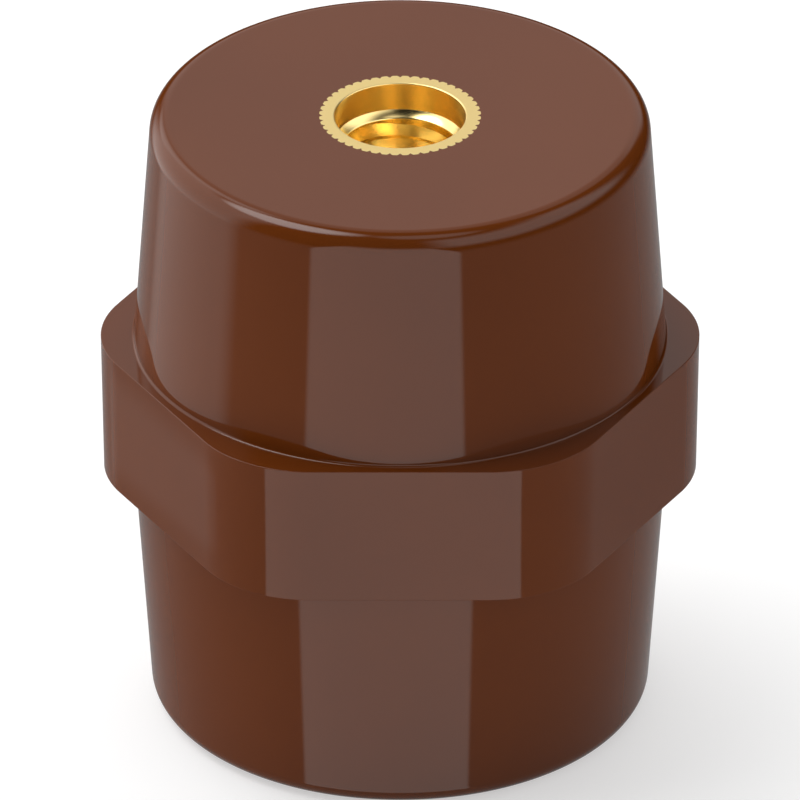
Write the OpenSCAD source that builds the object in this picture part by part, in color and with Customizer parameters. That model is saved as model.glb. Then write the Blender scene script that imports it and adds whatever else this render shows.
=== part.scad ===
// Moulded support insulator: two drafted cones back to back, a hexagonal belt round
// the middle, and a knurled brass insert with a blind tapped hole moulded into each end.
// Millimetres. The origin is the centre of the bottom face, and +Z points up. The holes
// are plain at their tapping diameter, which is the thread's diameter less its pitch.

/* [Moulding] */
// Height from end face to end face
height = 60; // [54:0.5:90]
// Diameter of an end face, where wall and face would meet before the rim is rounded
end_d = 45.7; // [42:0.1:46]
// Draft of the conical walls, in degrees
wall_draft = 4; // [2:0.1:4.5]
// Radius of the rounded rims
rim_r = 1.8; // [0.5:0.1:4]

/* [Belt] */
// Height of the hexagonal belt
belt_h = 13.7; // [8:0.1:20]
// Belt across flats, at its lower and narrower edge
belt_af = 50.2; // [50:0.1:56]
// Draft of the belt's six flats, in degrees
belt_draft = 1.0; // [0.3:0.1:2]
// Radius of the belt's corners at its lower edge
belt_corner_r = 11.0; // [6:0.1:14]
// Middle of the belt above the middle of the insulator
belt_lift = 0.1; // [0:0.1:1]

/* [Insert] */
// Insert diameter over the crests of its knurl
insert_d = 14.8; // [14.6:0.1:18]
// Insert length
insert_len = 22; // [21:0.5:24]
// Number of knurl ridges
knurl_n = 48; // [24:2:60]
// Depth of the knurl's grooves
knurl_depth = 0.3; // [0.15:0.05:0.4]
// Width of a knurl groove at the crests
knurl_w = 0.45; // [0.25:0.05:0.5]
// Retaining groove: its middle below the insert's face
groove_z = 11; // [8:0.5:13]
// Retaining groove: its width
groove_w = 3; // [1:0.5:5]
// Retaining groove: its depth below the knurl's crests
groove_depth = 0.6; // [0.4:0.1:0.9]
// Chamfer on the insert's buried end
tail_chamfer = 0.8; // [0.3:0.1:1.5]

/* [Tapped hole] */
// Nominal diameter of the thread
thread_d = 12; // [8:1:12]
// Pitch of the thread
thread_pitch = 1.5; // [1:0.25:1.75]
// Full depth of the tapped hole below the insert's face
thread_depth = 16; // [12:0.5:16.5]
// Diameter of the plain counterbore at the mouth
counterbore_d = 12; // [11.2:0.1:12.4]
// Depth of the counterbore
counterbore_depth = 2.7; // [1:0.1:4]
// Included angle of the countersink that leads into the thread
countersink_angle = 110; // [80:5:120]
// Chamfer on the mouth's edge
mouth_chamfer = 0.15; // [0.1:0.05:0.3]
// Included angle of the drill point
drill_angle = 118; // [110:2:140]

/* [Hidden] */
$fn = 128;

// How far cutters and joined solids reach past a surface
over = 1;
end_r = end_d / 2;
mid_r = end_r + height / 2 * tan(wall_draft);
belt_z = height / 2 + belt_lift - belt_h / 2;
// How far the round corners of the belt stand out past its flats, so that the surfaces
// cross cleanly where they would otherwise only touch
corner_proud = 0.005;
// Distance of the corner centres from the axis, which is also the length of the flats
belt_side = (belt_af / 2 + corner_proud - belt_corner_r) * 2 / sqrt(3);
insert_r = insert_d / 2;
tap_r = (thread_d - thread_pitch) / 2;
countersink_depth = (counterbore_d / 2 - tap_r) / tan(countersink_angle / 2);
drill_point = tap_r / tan(drill_angle / 2);

// Half section of the upper cone: straight drafted wall, rim arc tangent to wall and face
module cone_section() {
    arc_r = end_r + rim_r * tan(wall_draft) - rim_r / cos(wall_draft);
    arc_z = height - rim_r;
    polygon([
        [0, height / 2],
        [mid_r, height / 2],
        [arc_r + rim_r * cos(wall_draft), arc_z + rim_r * sin(wall_draft)],
        [arc_r, arc_z],
        [arc_r, height],
        [0, height],
    ]);
    intersection() {
        translate([arc_r, arc_z]) circle(r = rim_r);
        polygon([
            [arc_r, arc_z],
            [arc_r + 2 * rim_r * cos(wall_draft), arc_z + 2 * rim_r * sin(wall_draft)],
            [arc_r + 2 * rim_r, height + rim_r],
            [arc_r, height + rim_r],
        ]);
    }
}

module cone() {
    rotate_extrude() cone_section();
}

// Hexagon with round corners, widening upwards by the draft. Each pair of opposite flats
// is one bar of trapezoidal section, each corner is a slim cone, and a flat disc trims
// them all to the belt's height.
module belt() {
    slope = tan(belt_draft);
    tall = belt_h + 2 * over;
    translate([0, 0, belt_z]) intersection() {
        cylinder(r = 2 * mid_r, h = belt_h);
        translate([0, 0, -over]) {
            for (turn = [0, 60, 120])
                rotate([0, 0, turn])
                    flat_pair(belt_af / 2 - over * slope, tall, slope);
            for (turn = [0 : 60 : 300])
                rotate([0, 0, turn]) translate([belt_side, 0, 0])
                    cylinder(
                        r1 = belt_corner_r - over * slope,
                        r2 = belt_corner_r + (belt_h + over) * slope,
                        h = tall
                    );
        }
    }
}

module flat_pair(low, tall, slope) {
    high = low + tall * slope;
    translate([-belt_side / 2, 0, 0]) rotate([90, 0, 90])
        linear_extrude(height = belt_side)
            polygon([[-low, 0], [low, 0], [high, tall], [-high, tall]]);
}

// Outline of the knurl: flat-topped ridges between V grooves
function knurl_outline() =
    let (step = 360 / knurl_n, half = asin(knurl_w / 2 / insert_r))
    [for (i = [0 : knurl_n - 1]) each [
        polar(insert_r - knurl_depth, i * step),
        polar(insert_r, i * step + half),
        polar(insert_r, (i + 0.5) * step),
        polar(insert_r, (i + 1) * step - half),
    ]];

function polar(r, angle) = [r * cos(angle), r * sin(angle)];

// Outside of an insert, face up at z = 0 and reaching down. The pocket has the same form.
module insert_outside() {
    groove_r = insert_r - groove_depth;
    tail_r = insert_r - tail_chamfer;
    difference() {
        translate([0, 0, -insert_len])
            linear_extrude(height = insert_len) polygon(knurl_outline());
        translate([0, 0, -groove_z - groove_w / 2]) ring_cutter(groove_r, groove_w);
        translate([0, 0, -insert_len]) rotate_extrude()
            polygon([
                [tail_r, 0],
                [insert_r + over, 0],
                [insert_r + over, tail_chamfer + over],
            ]);
    }
}

module ring_cutter(inner_r, width) {
    rotate_extrude() translate([inner_r, 0]) square([insert_r + over - inner_r, width]);
}

// Everything that is cut out of an insert from its face at z = 0 downwards
module insert_hole() {
    counterbore_r = counterbore_d / 2;
    rotate_extrude() polygon([
        [0, over],
        [counterbore_r + mouth_chamfer + over, over],
        [counterbore_r, -mouth_chamfer],
        [counterbore_r, -counterbore_depth],
        [tap_r, -counterbore_depth - countersink_depth],
        [tap_r, -thread_depth],
        [0, -thread_depth - drill_point],
    ]);
}

module insert() {
    difference() {
        insert_outside();
        insert_hole();
    }
}

module place_top() {
    translate([0, 0, height]) children();
}

module place_bottom() {
    mirror([0, 0, 1]) children();
}

module insulator_body() {
    color([0.40, 0.20, 0.13])
        difference() {
            union() {
                cone();
                translate([0, 0, height]) mirror([0, 0, 1]) cone();
                belt();
            }
            place_top() insert_outside();
            place_bottom() insert_outside();
        }
}

module top_insert() {
    color([0.86, 0.70, 0.40]) place_top() insert();
}

module bottom_insert() {
    color([0.86, 0.70, 0.40]) place_bottom() insert();
}

insulator_body();
top_insert();
bottom_insert();
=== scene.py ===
import math

import bmesh
import bpy
import numpy as np
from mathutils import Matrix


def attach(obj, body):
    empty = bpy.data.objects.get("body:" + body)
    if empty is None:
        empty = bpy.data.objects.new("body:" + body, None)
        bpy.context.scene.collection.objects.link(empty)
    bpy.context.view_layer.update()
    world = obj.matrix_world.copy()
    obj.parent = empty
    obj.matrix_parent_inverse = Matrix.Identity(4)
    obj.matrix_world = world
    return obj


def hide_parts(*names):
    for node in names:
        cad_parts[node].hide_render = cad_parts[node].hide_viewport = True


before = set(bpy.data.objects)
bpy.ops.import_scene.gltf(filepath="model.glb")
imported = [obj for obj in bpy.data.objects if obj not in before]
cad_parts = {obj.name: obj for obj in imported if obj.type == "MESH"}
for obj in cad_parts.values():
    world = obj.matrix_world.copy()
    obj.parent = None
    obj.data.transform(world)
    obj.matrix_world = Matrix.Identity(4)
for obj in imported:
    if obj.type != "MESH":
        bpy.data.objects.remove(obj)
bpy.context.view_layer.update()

# Sizes in millimetres, as in the part's source. A mesh is turned into metres when it is made.
MM = 0.001
HEIGHT = 60.0
END_R = 22.85
WALL_DRAFT = 4.0
RIM_R = 1.8
BELT_H = 13.7
BELT_LIFT = 0.1
BELT_LOW = 25.1  # half of the belt across flats, at its lower edge
BELT_DRAFT = 1.0
BELT_CORNER_R = 11.0
BELT_EDGE_R = 0.06
JUNCTION_R = 0.25

INSERT_R = 7.4
INSERT_LEN = 22.0
KNURL_N = 48
KNURL_DEPTH = 0.3
KNURL_W = 0.45
GROOVE_Z = 11.0
GROOVE_W = 3.0
GROOVE_R = 6.8
TAIL_CHAMFER = 0.8

MAJOR_R = 6.0
TAP_R = 5.25
PITCH = 1.5
BORE_DEPTH = 16.0
DRILL_DEPTH = 19.15
COUNTERBORE_DEPTH = 2.7
COUNTERBORE_NARROWS = 0.05  # how much smaller its radius is at the bottom
SINK_SLOPES = (44, 55)  # degrees from upright, at the countersink's top and bottom
SINK_EDGE_R = 0.17
MOUTH_R = 0.15

THREAD_CUT = 0.34
CREST_FLAT = 0.31
CREST_AT_BACK = 3.72  # depth of the first crest on the side away from the camera
THREAD_TO = 14.4
# Places along the helix are in degrees, and 0 is where the first crest crosses the right side.
THREAD_STARTS = -260
THREAD_FULL = -200
FIRST_CREST_FULL = -90
FIRST_CREST_THIN = -121
FIRST_CREST_THINS = 0.25

AROUND = 8 * KNURL_N  # columns of every grid
CORNER_STEPS = 26
FLAT_STEPS = AROUND // 6 - CORNER_STEPS
NEAR = 0.03  # distance of a supporting row from the edge that it keeps crisp
LIP = 0.5  # depth of the first row of the knurl under an end face
FACE_RING_R = INSERT_R - 0.4  # a plain ring on an insert's face, inside its knurl
FACE_RINGS = [8.2, 12, 17]  # radii of the rings that divide an end face of the moulding


# Profiles and outlines


def arc(centre_r, centre_z, radius, start, end, steps):
    """Points (r, z) of an arc: the centre plus radius times (cos, sin) of evenly spaced angles."""
    t = np.radians(np.linspace(start, end, steps + 1))
    return np.column_stack([centre_r + radius * np.cos(t), centre_z + radius * np.sin(t)])


def polar(radius, angle, z):
    """Points (r cos a, r sin a, z), all three broadcast over the columns."""
    radius, angle, z = np.broadcast_arrays(radius, angle, z)
    return np.stack([radius * np.cos(angle), radius * np.sin(angle), z], axis=-1)


def belt_columns():
    """The belt's outline is a hexagon of corner centres moved out along its normals. Gives, for
    every column, its point on that hexagon and its normal: on a corner the point stays at the
    centre and the normal turns by 60 degrees, on a flat the point runs along the side."""
    side = (BELT_LOW - BELT_CORNER_R) * 2 / math.sqrt(3)
    half = CORNER_STEPS // 2
    points, normals = [], []
    for k in range(6):
        corner = math.radians(60 * k)
        centre = side * np.array([math.cos(corner), math.sin(corner)])
        turn = corner + np.radians(np.linspace(-30, 30, CORNER_STEPS + 1)[half:])
        points.append(np.tile(centre, (half + 1, 1)))
        normals.append(np.column_stack([np.cos(turn), np.sin(turn)]))
        flat = corner + math.radians(30)
        out = np.array([math.cos(flat), math.sin(flat)])
        along = np.array([-math.sin(flat), math.cos(flat)])
        s = side * np.linspace(-0.5, 0.5, FLAT_STEPS + 1)[1:-1, None]
        points.append(out * side * math.cos(math.radians(30)) + along * s)
        normals.append(np.tile(out, (FLAT_STEPS - 1, 1)))
        following = corner + math.radians(60)
        centre = side * np.array([math.cos(following), math.sin(following)])
        turn = following + np.radians(np.linspace(-30, 30, CORNER_STEPS + 1)[:half])
        points.append(np.tile(centre, (half, 1)))
        normals.append(np.column_stack([np.cos(turn), np.sin(turn)]))
    return np.concatenate(points), np.concatenate(normals)


CENTRES, NORMALS = belt_columns()
CENTRE_APOTHEM = BELT_LOW - BELT_CORNER_R


def belt_row(half_flats, z):
    """The belt's outline at height z where it is half_flats from the axis to a flat."""
    xy = CENTRES + NORMALS * (half_flats - CENTRE_APOTHEM)
    return np.column_stack([xy, np.full(AROUND, z)])


BELT_TURN = np.unwrap(np.arctan2(*belt_row(BELT_LOW, 0)[:, 1::-1].T))


def knurl_columns():
    """(angle, depth below the crests) of every column: each ridge is flat with eased edges, and
    each groove between two ridges is a V. One ridge has eight columns: the bottom of the groove,
    three up its side to the crest, the middle of the ridge, and three down the other side."""
    step = 360 / KNURL_N
    half = math.degrees(KNURL_W / 2 / INSERT_R)
    rise = half * np.array([0.5, 0.92, 1.35])
    rise_depth = np.array([0.53, 0.12, 0])
    angles = np.concatenate([[0], rise, [step / 2], step - rise[::-1]])
    depths = KNURL_DEPTH * np.concatenate([[1], rise_depth, [0], rise_depth[::-1]])
    every = step * np.arange(KNURL_N)[:, None] + angles
    return np.radians(every.ravel()), np.tile(depths, KNURL_N)


# Meshes


def closed_grid(name, rows):
    """A closed surface: row 0 and the last row are single points on the axis, and every other
    row runs once round it. Read as a profile, the rows have the outside on their left."""
    rows = np.asarray(rows) * MM
    count, around = rows.shape[:2]
    mesh = bpy.data.meshes.new(name)
    index = np.arange(count * around).reshape(count, around)
    following = np.roll(index, -1, axis=1)
    quads = np.stack([index[:-1], index[1:], following[1:], following[:-1]], axis=-1)
    mesh.from_pydata(rows.reshape(-1, 3), [], quads.reshape(-1, 4).tolist())
    return mesh


def weld(mesh, crisp=35, distance=0.4e-6):
    """Joins points that coincide, which closes the seams and the poles, smooths the shading and
    keeps edges over the angle crisp."""
    work = bmesh.new()
    work.from_mesh(mesh)
    bmesh.ops.remove_doubles(work, verts=work.verts, dist=distance)
    bmesh.ops.dissolve_degenerate(work, dist=distance / 2, edges=work.edges)
    work.to_mesh(mesh)
    work.free()
    mesh.polygons.foreach_set("use_smooth", np.ones(len(mesh.polygons), bool))
    mesh.set_sharp_from_angle(angle=math.radians(crisp))
    mesh.update()


def add_piece(name, mesh, material, node):
    piece = bpy.data.objects.new(name, mesh)
    bpy.context.scene.collection.objects.link(piece)
    mesh.materials.append(material)
    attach(piece, "root")
    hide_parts(node)
    return piece


# The moulding


def pocket_rows(end_z, sign):
    """Rows from a pocket's floor up to the end face at end_z: tail chamfer, knurled wall and the
    ring that fills the insert's groove. sign is +1 for the top pocket and -1 for the bottom."""
    angle, depth = knurl_columns()
    knurl = INSERT_R - depth
    tail_r = INSERT_R - TAIL_CHAMFER
    groove = [GROOVE_Z + GROOVE_W / 2, GROOVE_Z - GROOVE_W / 2]

    def row(radius, below):
        return polar(radius, angle, end_z - sign * below)

    rows = [row(0, INSERT_LEN), row(tail_r / 2, INSERT_LEN), row(tail_r, INSERT_LEN)]
    for up in (TAIL_CHAMFER - KNURL_DEPTH, TAIL_CHAMFER):
        rows.append(row(np.minimum(knurl, tail_r + up), INSERT_LEN - up))
    rows += [row(knurl, groove[0]), row(GROOVE_R, groove[0]), row(GROOVE_R, groove[1])]
    rows += [row(knurl, groove[1]), row(knurl, LIP), row(knurl, 0)]
    return rows


def upper_wall_rows(end_z, sign, belt_z):
    """Rows from the end face outwards, round the rim, down the drafted wall and through the small
    fillet to the belt's face at belt_z: circles about the axis. The lower half is the same
    profile mirrored, with sign -1."""
    draft = math.radians(WALL_DRAFT)
    arc_r = END_R + RIM_R * math.tan(draft) - RIM_R / math.cos(draft)
    rim = arc(arc_r, -RIM_R, RIM_R, 90, WALL_DRAFT, 16)
    to_belt = sign * (end_z - belt_z)
    fillet_z = JUNCTION_R - to_belt
    fillet_r = END_R - fillet_z * math.tan(draft) + JUNCTION_R / math.cos(draft)
    fillet = arc(fillet_r, fillet_z, JUNCTION_R, 180 + WALL_DRAFT, 270, 6)
    slide = NEAR * np.array([math.sin(draft), -math.cos(draft)])
    wall = np.linspace(rim[-1] + 4 * slide, fillet[0] - slide, 12)
    inner = [[r, 0] for r in (*FACE_RINGS, arc_r - 4 * NEAR)]
    after = [[fillet[-1, 0] + NEAR, fillet[-1, 1]]]
    profile = np.concatenate([inner, rim, wall, fillet, after])
    return [polar(r, BELT_TURN, end_z + sign * z) for r, z in profile]


def belt_rows(low_z, high_z):
    """Rows over the belt, from its upper face to its lower: outlines offset inwards at the
    rounded edges, and drafted between them."""
    slope = math.tan(math.radians(BELT_DRAFT))
    high = BELT_LOW + slope * BELT_H
    t = np.radians(np.linspace(0, 90, 5))
    inset, drop = BELT_EDGE_R * (1 - np.sin(t)), BELT_EDGE_R * (1 - np.cos(t))
    half = [high - BELT_EDGE_R - NEAR, *(high - inset)]
    z = [high_z, *(high_z - drop)]
    quarters = BELT_H * np.array([0.25, 0.5, 0.75])
    for at in (BELT_EDGE_R + NEAR, *quarters, BELT_H - BELT_EDGE_R - NEAR):
        half.append(high - slope * at)
        z.append(high_z - at)
    half += [*(BELT_LOW - inset[::-1]), BELT_LOW - BELT_EDGE_R - NEAR]
    z += [*(low_z + drop[::-1]), low_z]
    return [belt_row(h, at) for h, at in zip(half, z)]


def moulding_mesh():
    """The moulding's rows in one run: top pocket, upper cone, belt, lower cone, bottom pocket."""
    low_z = HEIGHT / 2 + BELT_LIFT - BELT_H / 2
    high_z = low_z + BELT_H
    top = pocket_rows(HEIGHT, 1) + upper_wall_rows(HEIGHT, 1, high_z)
    bottom = pocket_rows(0, -1) + upper_wall_rows(0, -1, low_z)
    mesh = closed_grid("moulding", top + belt_rows(low_z, high_z) + bottom[::-1])
    weld(mesh)
    return mesh


# The threaded inserts


# Places along one pitch, down from the middle of a crest: the crest's lower edge, the root and
# the upper edge of the next crest. The flank over a root is 30 degrees from level.
CREST_LOW = CREST_FLAT / 2
ROOT = CREST_LOW + THREAD_CUT * math.tan(math.radians(30))
CREST_HIGH = PITCH - CREST_FLAT / 2
FLANK = THREAD_CUT / (CREST_HIGH - ROOT)  # slope of the flank under a root
THREAD_LAST_ROOT = THREAD_TO - 0.2


def thread_rows(turn, around, top):
    """Rows that follow the thread from its end up to the countersink: for each turn, the upper
    edge of a crest, the root over it and the lower edge of the crest over that. A row sinks by
    one pitch each clockwise turn, so its last column meets the next row's first. The groove
    fades in on the left, below the countersink, where the first crest thins away, and it runs
    out towards the thread's end."""
    rows = []
    for n in range(math.ceil(THREAD_TO / PITCH) - 1, -2, -1):
        crest = CREST_AT_BACK + PITCH * (n - (turn - math.pi / 2) / (2 * math.pi))
        along = 360 * n - np.degrees(turn)
        thinned = np.interp(along, [FIRST_CREST_THIN, FIRST_CREST_FULL], [FIRST_CREST_THINS, 0])
        fade_in = np.interp(along, [THREAD_STARTS, THREAD_FULL], [0, 1])
        fade_out = np.clip((THREAD_LAST_ROOT - crest - ROOT) / PITCH, 0, 1)
        for offset, flank in ((CREST_HIGH, 0), (ROOT - thinned, FLANK), (CREST_LOW - thinned, 0)):
            below = np.clip(crest + offset, top, THREAD_TO)
            if np.ptp(below) > 0:
                cut = flank * np.maximum(crest + CREST_HIGH - below, 0) * fade_in * fade_out
                rows.append(polar(TAP_R + cut, around, HEIGHT - below))
    return rows


def countersink_profile():
    """Points (r, z below the face) up the countersink: a rounded edge over the bore, and then a
    shallow hollow that ends at the counterbore's wall."""
    high, low = (math.radians(slope) for slope in SINK_SLOPES)
    edge_out = SINK_EDGE_R * (1 - math.cos(low))
    width = MAJOR_R - COUNTERBORE_NARROWS - TAP_R - edge_out
    hollow = width / (math.cos(high) - math.cos(low))
    centre_r = TAP_R + edge_out - hollow * math.cos(low)
    centre_z = hollow * math.sin(high) - COUNTERBORE_DEPTH
    sunk = arc(centre_r, centre_z, hollow, -SINK_SLOPES[1], -SINK_SLOPES[0], 6)
    edge_z = sunk[0, 1] - SINK_EDGE_R * math.sin(low)
    edge = arc(TAP_R + SINK_EDGE_R, edge_z, SINK_EDGE_R, 180, 180 - SINK_SLOPES[1], 6)
    return np.concatenate([edge, sunk[1:]])


def insert_mesh(name):
    """Rows from the drill point up the hole, over the face, down the knurl and across the buried
    end. The thread's rows lie between two level circles. The first column and the last have the
    same angle, and they weld."""
    turn = np.linspace(0, 2 * math.pi, AROUND + 1)
    around = np.append(turn[:-1], 0)

    def circle(radius, below):
        return polar(np.broadcast_to(radius, turn.shape), around, HEIGHT - below)

    point = DRILL_DEPTH - BORE_DEPTH
    rows = [circle(TAP_R * f, DRILL_DEPTH - point * f) for f in (0, 0.33, 0.67, 1)]
    rows += [circle(TAP_R, (THREAD_TO + BORE_DEPTH) / 2), circle(TAP_R, THREAD_TO)]

    countersink = countersink_profile()
    top = NEAR - countersink[0, 1]
    rows += thread_rows(turn, around, top)
    rows.append(circle(TAP_R, top))
    rows += [circle(r, -z) for r, z in countersink]
    rows += [circle(MAJOR_R - COUNTERBORE_NARROWS * f, COUNTERBORE_DEPTH * f) for f in (0.98, 0.5)]
    mouth = arc(MAJOR_R + MOUTH_R, -MOUTH_R, MOUTH_R, 180, 90, 4)
    rows.append(circle(MAJOR_R, MOUTH_R + NEAR))
    rows += [circle(r, -z) for r, z in mouth]
    rows.append(circle(MAJOR_R + MOUTH_R + NEAR, 0))

    angle, depth = knurl_columns()
    angle, depth = np.append(angle, angle[0]), np.append(depth, depth[0])
    knurl = INSERT_R - depth
    tail_r = INSERT_R - TAIL_CHAMFER

    def ribbed(radius, below):
        return polar(np.broadcast_to(radius, angle.shape), angle, HEIGHT - below)

    groove = [GROOVE_Z - GROOVE_W / 2, GROOVE_Z + GROOVE_W / 2]
    rows += [ribbed(FACE_RING_R, 0), ribbed(knurl, 0), ribbed(knurl, LIP)]
    rows += [ribbed(knurl, groove[0]), ribbed(GROOVE_R, groove[0])]
    rows += [ribbed(GROOVE_R, groove[1]), ribbed(knurl, groove[1])]
    for up in (TAIL_CHAMFER, TAIL_CHAMFER - KNURL_DEPTH):
        rows.append(ribbed(np.minimum(knurl, tail_r + up), INSERT_LEN - up))
    rows += [ribbed(tail_r, INSERT_LEN), ribbed(tail_r / 2, INSERT_LEN), ribbed(0, INSERT_LEN)]
    rows = np.array(rows)

    index = np.arange(rows.shape[0] * rows.shape[1]).reshape(rows.shape[:2])
    quads = np.stack([index[:-1, :-1], index[1:, :-1], index[1:, 1:], index[:-1, 1:]], axis=-1)
    mesh = bpy.data.meshes.new(name)
    mesh.from_pydata((rows * MM).reshape(-1, 3), [], quads.reshape(-1, 4).tolist())
    weld(mesh, crisp=12)
    return mesh


def turned_over(mesh, name):
    """The same insert turned half a turn about the x axis, which puts it in the lower end with
    its thread still right-handed."""
    lower = mesh.copy()
    lower.name = name
    co = np.empty(3 * len(lower.vertices), np.float32)
    lower.vertices.foreach_get("co", co)
    co = co.reshape(-1, 3) * np.array([1, -1, -1], np.float32)
    co[:, 2] += HEIGHT * MM
    lower.vertices.foreach_set("co", co.ravel())
    lower.update()
    return lower


# Materials


def node_maker(tree):
    """A function that adds a node to the tree: inputs are values or the sockets to link, and
    settings are the node's own."""

    def make(kind, inputs=None, **settings):
        made = tree.nodes.new(kind)
        for key, value in settings.items():
            setattr(made, key, value)
        for key, value in (inputs or {}).items():
            socket = made.inputs[key]
            if isinstance(value, bpy.types.NodeSocket):
                tree.links.new(value, socket)
            else:
                socket.default_value = value
        return made
    return make


def new_material(name):
    material = bpy.data.materials.new(name)
    material.use_nodes = True
    material.node_tree.nodes.clear()
    return material, node_maker(material.node_tree)


def moulding_material():
    """Glossy red-brown plastic, with a faint drift in its tone and gloss and a faint orange peel."""
    material, make = new_material("glossy red-brown moulding")
    place = make("ShaderNodeTexCoord").outputs["Object"]
    drift = make("ShaderNodeTexNoise", {"Vector": place, "Scale": 45.0, "Detail": 3.0})
    tone = make("ShaderNodeValToRGB", {"Fac": drift.outputs["Fac"]})
    tone.color_ramp.elements[0].position = 0.3
    tone.color_ramp.elements[0].color = (0.122, 0.0280, 0.0046, 1)
    tone.color_ramp.elements[1].position = 0.7
    tone.color_ramp.elements[1].color = (0.134, 0.0315, 0.0053, 1)
    peel = make("ShaderNodeTexNoise", {"Vector": place, "Scale": 700.0, "Detail": 2.0})
    bump = make("ShaderNodeBump", {"Height": peel.outputs["Fac"], "Strength": 0.02,
                                   "Distance": 0.00002})
    rough = make("ShaderNodeMapRange", {"Value": drift.outputs["Fac"], "From Min": 0.3,
                                        "From Max": 0.7, "To Min": 0.045, "To Max": 0.06})
    shader = make("ShaderNodeBsdfPrincipled", {
        "Base Color": tone.outputs["Color"], "Roughness": rough.outputs["Result"],
        "Normal": bump.outputs["Normal"], "IOR": 1.5, "Specular IOR Level": 0.35})
    make("ShaderNodeOutputMaterial", {"Surface": shader.outputs["BSDF"]})
    return material


# Radii in millimetres between which one finish of the brass gives way to the next
WALL_BEGINS = (5.88, 5.94)
FACE_BEGINS = (6.02, 6.15)


def brass_material():
    """Brass with fine turning rings, finished by its distance from the axis: brightest in the
    bore and countersink, softer on the counterbore's wall, and dull outside the mouth."""
    material, make = new_material("bright turned brass")
    place = make("ShaderNodeTexCoord").outputs["Object"]
    apart = make("ShaderNodeSeparateXYZ", {"Vector": place})
    x, y, z = (apart.outputs[k] for k in "XYZ")

    def maths(kind, a, b=0.0, c=0.0):
        made = make("ShaderNodeMath", {0: a, 1: b, 2: c}, operation=kind)
        return made.outputs[0]

    def across(band, inner, outer):
        made = make("ShaderNodeMapRange", {
            "Value": radius, "From Min": band[0] * MM, "From Max": band[1] * MM,
            "To Min": inner, "To Max": outer})
        return made.outputs["Result"]

    radius = maths("SQRT", maths("ADD", maths("MULTIPLY", x, x), maths("MULTIPLY", y, y)))
    outside = across(FACE_BEGINS, 0.0, 1.0)
    lathe = make("ShaderNodeCombineXYZ", {"X": maths("MULTIPLY", radius, 9000.0),
                                          "Y": maths("MULTIPLY", z, 9000.0)})
    rings = make("ShaderNodeTexNoise", {"Vector": lathe.outputs["Vector"], "Scale": 1.0,
                                        "Detail": 2.0})
    bump = make("ShaderNodeBump", {"Height": rings.outputs["Fac"], "Strength": 0.06,
                                   "Distance": 0.00002})
    hole = across(WALL_BEGINS, 0.18, 0.27)
    rough = make("ShaderNodeMix", {0: outside, 2: hole, 3: 0.6})
    tone = make("ShaderNodeMix", {0: outside, 6: (1.0, 0.765, 0.32, 1), 7: (0.9, 0.715, 0.33, 1)},
                data_type="RGBA")
    shader = make("ShaderNodeBsdfPrincipled", {
        "Base Color": tone.outputs[2], "Metallic": 1.0,
        "Roughness": rough.outputs[0], "Normal": bump.outputs["Normal"]})
    make("ShaderNodeOutputMaterial", {"Surface": shader.outputs["BSDF"]})
    return material


# The camera


def add_camera():
    """The photograph's view: 30 degrees above the horizon, square on to a flat of the belt. The
    camera looks past the middle by aim_left and aim_down, in metres."""
    distance, elevation, lens = 2.6145, math.radians(29.994), 1278.4
    aim_left, aim_down = 0.000011, 0.000062
    back = np.array([0, -math.cos(elevation), math.sin(elevation)])
    up = np.array([0, math.sin(elevation), math.cos(elevation)])
    place = np.array([-aim_left, 0, HEIGHT / 2 * MM]) + distance * back - aim_down * up
    data = bpy.data.cameras.new("camera")
    data.lens, data.sensor_width = lens, 36.0
    data.clip_start, data.clip_end = 0.1, 20.0
    camera = bpy.data.objects.new("camera", data)
    camera.location = place
    camera.rotation_euler = (math.pi / 2 - elevation, 0, 0)
    bpy.context.scene.collection.objects.link(camera)
    bpy.context.scene.camera = camera


# The studio

# What the studio shows in the gloss: centre, left side, right side, lower edge, upper edge and
# brightness, where white is 1. Azimuth runs from the camera towards the right, elevation up from
# the horizon, both in degrees. A side is (azimuth at the horizon, its change with each degree of
# elevation under the horizon, the same over it, soft width), and a lower or upper edge is
# (elevation, soft width).
PANELS = {
    "front": (0, (-30.9, 0.432, 0.432, 1.5), (18.8, -0.381, -0.381, 1.5), (-50, 3), (16.5, 9), 1.56),
    "left": (-112, (-150, -0.28, 0, 9), (-73, 0.24, 0, 8), (-26.5, 9.5), (50, 6), 1.5),
    "left, low": (-118, (-140, 0, 0, 6), (-100, 0, 0, 6), (-32, 1.5), (-20, 3), 0.52),
    "far left": (-145, (-160, 0, 0, 11), (-139, 0, 0, 8), (17, 5), (58, 4), 1.86),
    "right": (68, (18, 0, 0, 10), (118, 0, 0, 12), (14, 11), (59.5, 9), 1.42),
    "behind": (175, (150, 0, 0, 6), (200, 0, 0, 10), (10, 6), (37, 6), 0.75),
    "above behind": (175, (150, 0, 0, 6), (200, 0, 0, 10), (10, 6), (58, 5), 0.56),
}
# Round lights: azimuth and elevation, then the angles from its middle to the inside and the
# outside of its soft edge, and the brightness.
LAMPS = {"lamp": (-102, 63.5, 11, 22, 5.8), "ceiling": (60, 83, 6, 15, 1.14)}
# The ground's brightness in the gloss
GROUND = 0.31
# Broad lights that the gloss doesn't show: azimuth, elevation, how narrow, and the brightness.
BROAD = {"rear left": (-160, 30, 2, 1.78), "left": (-65, 0, 2, 0.5)}
# How strongly the panels and lamps light the colours, as a share of what the gloss shows
PANELS_ON_COLOUR = 0.54


def towards(azimuth, elevation):
    """The unit vector (sin a cos e, -cos a cos e, sin e)."""
    a, e = math.radians(azimuth), math.radians(elevation)
    return math.sin(a) * math.cos(e), -math.cos(a) * math.cos(e), math.sin(e)


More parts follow.
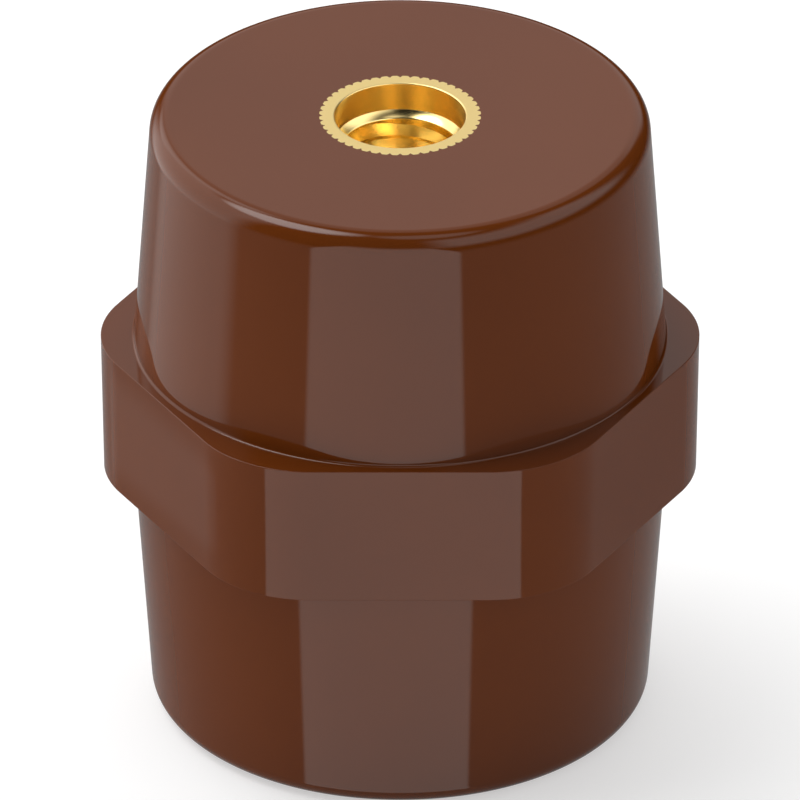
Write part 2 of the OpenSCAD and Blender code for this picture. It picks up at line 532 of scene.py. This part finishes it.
def studio_world():
    """Glossy rays see the panels and lamps, the camera sees white, and all other rays see the
    panels and lamps weaker, with the broad lights added."""
    world = bpy.data.worlds.new("studio")
    bpy.context.scene.world = world
    world.use_nodes = True
    tree = world.node_tree
    tree.nodes.clear()
    make = node_maker(tree)

    def maths(kind, a, b=0.0, c=0.0):
        made = make("ShaderNodeMath", {0: a, 1: b, 2: c}, operation=kind)
        return made.outputs[0]

    def ramp(value, start, end):
        made = make("ShaderNodeMapRange", {"Value": value, "From Min": start, "From Max": end},
                    interpolation_type="SMOOTHSTEP")
        return made.outputs["Result"]

    direction = make("ShaderNodeTexCoord").outputs["Generated"]
    apart = make("ShaderNodeSeparateXYZ", {"Vector": direction})
    x, y, z = (apart.outputs[k] for k in "XYZ")
    degrees = 180 / math.pi
    azimuth = maths("MULTIPLY", maths("ARCTAN2", x, maths("MULTIPLY", y, -1.0)), degrees)
    elevation = maths("MULTIPLY", maths("ARCSINE", z), degrees)
    below = maths("MINIMUM", elevation, 0.0)
    above = maths("MAXIMUM", elevation, 0.0)

    def panel(centre, left, right, low, high, level):
        """The product of four soft steps, one for each edge, times the brightness."""
        rel = maths("WRAP", maths("SUBTRACT", azimuth, centre), 180.0, -180.0)
        shape = maths("MULTIPLY", ramp(elevation, low[0] - low[1], low[0] + low[1]),
                      ramp(elevation, high[0] + high[1], high[0] - high[1]))
        for (start, under, over, soft), side in ((left, 1.0), (right, -1.0)):
            edge = maths("MULTIPLY_ADD", below, under, start - centre)
            edge = maths("MULTIPLY_ADD", above, over, edge)
            into = maths("MULTIPLY", maths("SUBTRACT", rel, edge), side)
            shape = maths("MULTIPLY", shape, ramp(into, -soft, soft))
        return maths("MULTIPLY", shape, level)

    def facing(azimuth, elevation):
        """The cosine of the angle between the ray and a direction."""
        made = make("ShaderNodeVectorMath", {0: direction, 1: towards(azimuth, elevation)},
                    operation="DOT_PRODUCT")
        return made.outputs["Value"]

    glow = maths("MULTIPLY", ramp(elevation, -3.0, -25.0), GROUND)
    for values in PANELS.values():
        glow = maths("MAXIMUM", glow, panel(*values))
    for az, el, inner, outer, level in LAMPS.values():
        disc = ramp(facing(az, el), math.cos(math.radians(outer)), math.cos(math.radians(inner)))
        glow = maths("MAXIMUM", glow, maths("MULTIPLY", disc, level))

    dome = maths("MULTIPLY", glow, PANELS_ON_COLOUR)
    for az, el, narrow, level in BROAD.values():
        lobe = maths("POWER", maths("MAXIMUM", facing(az, el), 0.0), narrow)
        dome = maths("MULTIPLY_ADD", lobe, level, dome)
    path = make("ShaderNodeLightPath")
    seen = make("ShaderNodeMix", {0: path.outputs["Is Glossy Ray"], 2: dome, 3: glow})
    seen = make("ShaderNodeMix", {0: path.outputs["Is Camera Ray"], 2: seen.outputs[0], 3: 1.0})
    shader = make("ShaderNodeBackground", {"Color": (1, 1, 1, 1), "Strength": seen.outputs[0]})
    make("ShaderNodeOutputWorld", {"Surface": shader.outputs["Background"]})


def add_floor():
    """A pale disc under the insulator. The camera sees it as white with a soft, light shadow."""
    material, make = new_material("pale floor")
    path = make("ShaderNodeLightPath")
    pale = make("ShaderNodeBsdfDiffuse", {"Color": (0.95, 0.95, 0.95, 1)})
    white = make("ShaderNodeBsdfDiffuse", {"Color": (0.55, 0.55, 0.55, 1)})
    glow = make("ShaderNodeEmission", {"Color": (1, 1, 1, 1), "Strength": 0.5})
    lit = make("ShaderNodeAddShader", {0: white.outputs["BSDF"], 1: glow.outputs["Emission"]})
    seen = make("ShaderNodeMixShader", {0: path.outputs["Is Camera Ray"],
                                        1: pale.outputs["BSDF"], 2: lit.outputs["Shader"]})
    make("ShaderNodeOutputMaterial", {"Surface": seen.outputs["Shader"]})
    mesh = bpy.data.meshes.new("floor")
    t = np.linspace(0, 2 * math.pi, 97)[:-1]
    ring = np.column_stack([0.6 * np.cos(t), 0.6 * np.sin(t), np.full(96, -0.0001)])
    mesh.from_pydata(ring, [], [tuple(range(96))])
    mesh.materials.append(material)
    floor = bpy.data.objects.new("floor", mesh)
    bpy.context.scene.collection.objects.link(floor)
    floor.visible_glossy = False


add_camera()
brown = moulding_material()
brass = brass_material()
add_piece("moulding", moulding_mesh(), brown, "insulator_body")
upper = insert_mesh("threaded_insert_top")
lower = turned_over(upper, "threaded_insert_bottom")
add_piece("threaded_insert_top", upper, brass, "top_insert")
add_piece("threaded_insert_bottom", lower, brass, "bottom_insert")
studio_world()
add_floor()
bpy.context.scene.view_settings.view_transform = "Standard"
